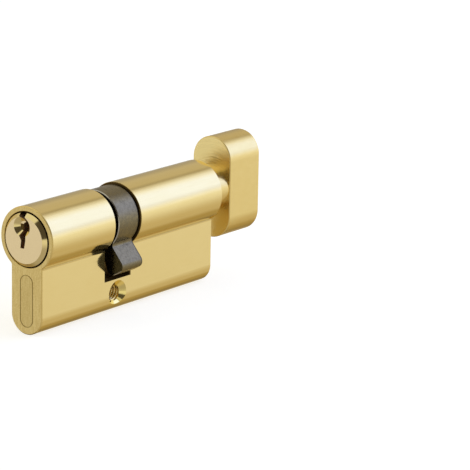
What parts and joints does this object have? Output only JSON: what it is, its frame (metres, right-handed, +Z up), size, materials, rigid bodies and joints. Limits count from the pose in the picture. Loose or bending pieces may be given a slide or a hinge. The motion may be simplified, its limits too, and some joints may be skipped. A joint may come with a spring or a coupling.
{
  "type": "thumb turn euro cylinder",
  "caption": "Euro profile door lock cylinder in brass, with a keyed half, a stadium-shaped thumb turn on a neck, and a dark steel cam turning in a slot.",
  "frame": {"origin": "centre of the fixing screw hole, halfway through the web", "axes": "+X from the key face to the thumb turn, along the barrel; +Y along the fixing screw hole; +Z up, from the web to the barrel"},
  "size_m": [0.0905, 0.0176, 0.0383],
  "materials": {
    "casing_brass": "satin polished yellow brass, lightly drawn along its length",
    "plug_brass": "turned and polished brass",
    "knob_brass": "polished brass, turned inner face",
    "pin_brass": "plain turned brass",
    "cam_steel": "sintered steel, dark grey, matt",
    "black_steel": "blackened spring steel",
    "spring_steel": "bright drawn wire"
  },
  "bodies": {
    "casing": {"casing": "casing_brass", "chamber_plug_1": "pin_brass", "chamber_plug_2": "pin_brass", "chamber_plug_3": "pin_brass", "chamber_plug_4": "pin_brass", "chamber_plug_5": "pin_brass", "pin_spring_1": "spring_steel", "pin_spring_2": "spring_steel", "pin_spring_3": "spring_steel", "pin_spring_4": "spring_steel", "pin_spring_5": "spring_steel"},
    "key_plug": {"key_plug": "plug_brass", "key_side_clip": "black_steel"},
    "thumb_turn": {"thumb_plug": "plug_brass", "thumb_knob": "knob_brass", "knob_grub_screw": "black_steel", "thumb_side_clip": "black_steel", "coupler_spring": "spring_steel"},
    "cam": {"cam": "cam_steel"},
    "key_coupler": {"key_coupler": "cam_steel"},
    "key_pin_1": {"key_pin_1": "pin_brass"},
    "driver_pin_1": {"driver_pin_1": "pin_brass"},
    "key_pin_2": {"key_pin_2": "pin_brass"},
    "driver_pin_2": {"driver_pin_2": "pin_brass"},
    "key_pin_3": {"key_pin_3": "pin_brass"},
    "driver_pin_3": {"driver_pin_3": "pin_brass"},
    "key_pin_4": {"key_pin_4": "pin_brass"},
    "driver_pin_4": {"driver_pin_4": "pin_brass"},
    "key_pin_5": {"key_pin_5": "pin_brass"},
    "driver_pin_5": {"driver_pin_5": "pin_brass"}
  },
  "joints": [
    {"name": "thumb_turn", "type": "hinge", "parent": "casing", "child": "thumb_turn", "pos_m": [0, 0, 0.01925], "axis": [1, 0, 0], "continuous": true},
    {"name": "cam_turn", "type": "hinge", "parent": "casing", "child": "cam", "pos_m": [0, 0, 0.01925], "axis": [1, 0, 0], "continuous": true},
    {"name": "key_turn", "type": "hinge", "parent": "casing", "child": "key_plug", "pos_m": [0, 0, 0.01925], "axis": [1, 0, 0], "continuous": true},
    {"name": "coupler_push", "type": "slide", "parent": "key_plug", "child": "key_coupler", "axis": [1, 0, 0], "range_m": [0, 0.0012], "stiffness_N_per_m": 150, "springref_m": -0.002, "deforming": ["coupler_spring"]},
    {"name": "key_pin_1_lift", "type": "slide", "parent": "key_plug", "child": "key_pin_1", "axis": [0, 0, 1], "range_m": [0, 0.00343]},
    {"name": "driver_pin_1_drop", "type": "slide", "parent": "casing", "child": "driver_pin_1", "axis": [0, 0, 1], "range_m": [-0.003, 0], "stiffness_N_per_m": 100, "springref_m": 0.004, "deforming": ["pin_spring_1"]},
    {"name": "key_pin_2_lift", "type": "slide", "parent": "key_plug", "child": "key_pin_2", "axis": [0, 0, 1], "range_m": [0, 0.00223]},
    {"name": "driver_pin_2_drop", "type": "slide", "parent": "casing", "child": "driver_pin_2", "axis": [0, 0, 1], "range_m": [-0.003, 0], "stiffness_N_per_m": 100, "springref_m": 0.004, "deforming": ["pin_spring_2"]},
    {"name": "key_pin_3_lift", "type": "slide", "parent": "key_plug", "child": "key_pin_3", "axis": [0, 0, 1], "range_m": [0, 0.00283]},
    {"name": "driver_pin_3_drop", "type": "slide", "parent": "casing", "child": "driver_pin_3", "axis": [0, 0, 1], "range_m": [-0.003, 0], "stiffness_N_per_m": 100, "springref_m": 0.004, "deforming": ["pin_spring_3"]},
    {"name": "key_pin_4_lift", "type": "slide", "parent": "key_plug", "child": "key_pin_4", "axis": [0, 0, 1], "range_m": [0, 0.00163]},
    {"name": "driver_pin_4_drop", "type": "slide", "parent": "casing", "child": "driver_pin_4", "axis": [0, 0, 1], "range_m": [-0.003, 0], "stiffness_N_per_m": 100, "springref_m": 0.004, "deforming": ["pin_spring_4"]},
    {"name": "key_pin_5_lift", "type": "slide", "parent": "key_plug", "child": "key_pin_5", "axis": [0, 0, 1], "range_m": [0, 0.00313]},
    {"name": "driver_pin_5_drop", "type": "slide", "parent": "casing", "child": "driver_pin_5", "axis": [0, 0, 1], "range_m": [-0.003, 0], "stiffness_N_per_m": 100, "springref_m": 0.004, "deforming": ["pin_spring_5"]}
  ],
  "couplings": [
    {"joint": "cam_turn", "follows": "thumb_turn", "ratio": 1}
  ]
}
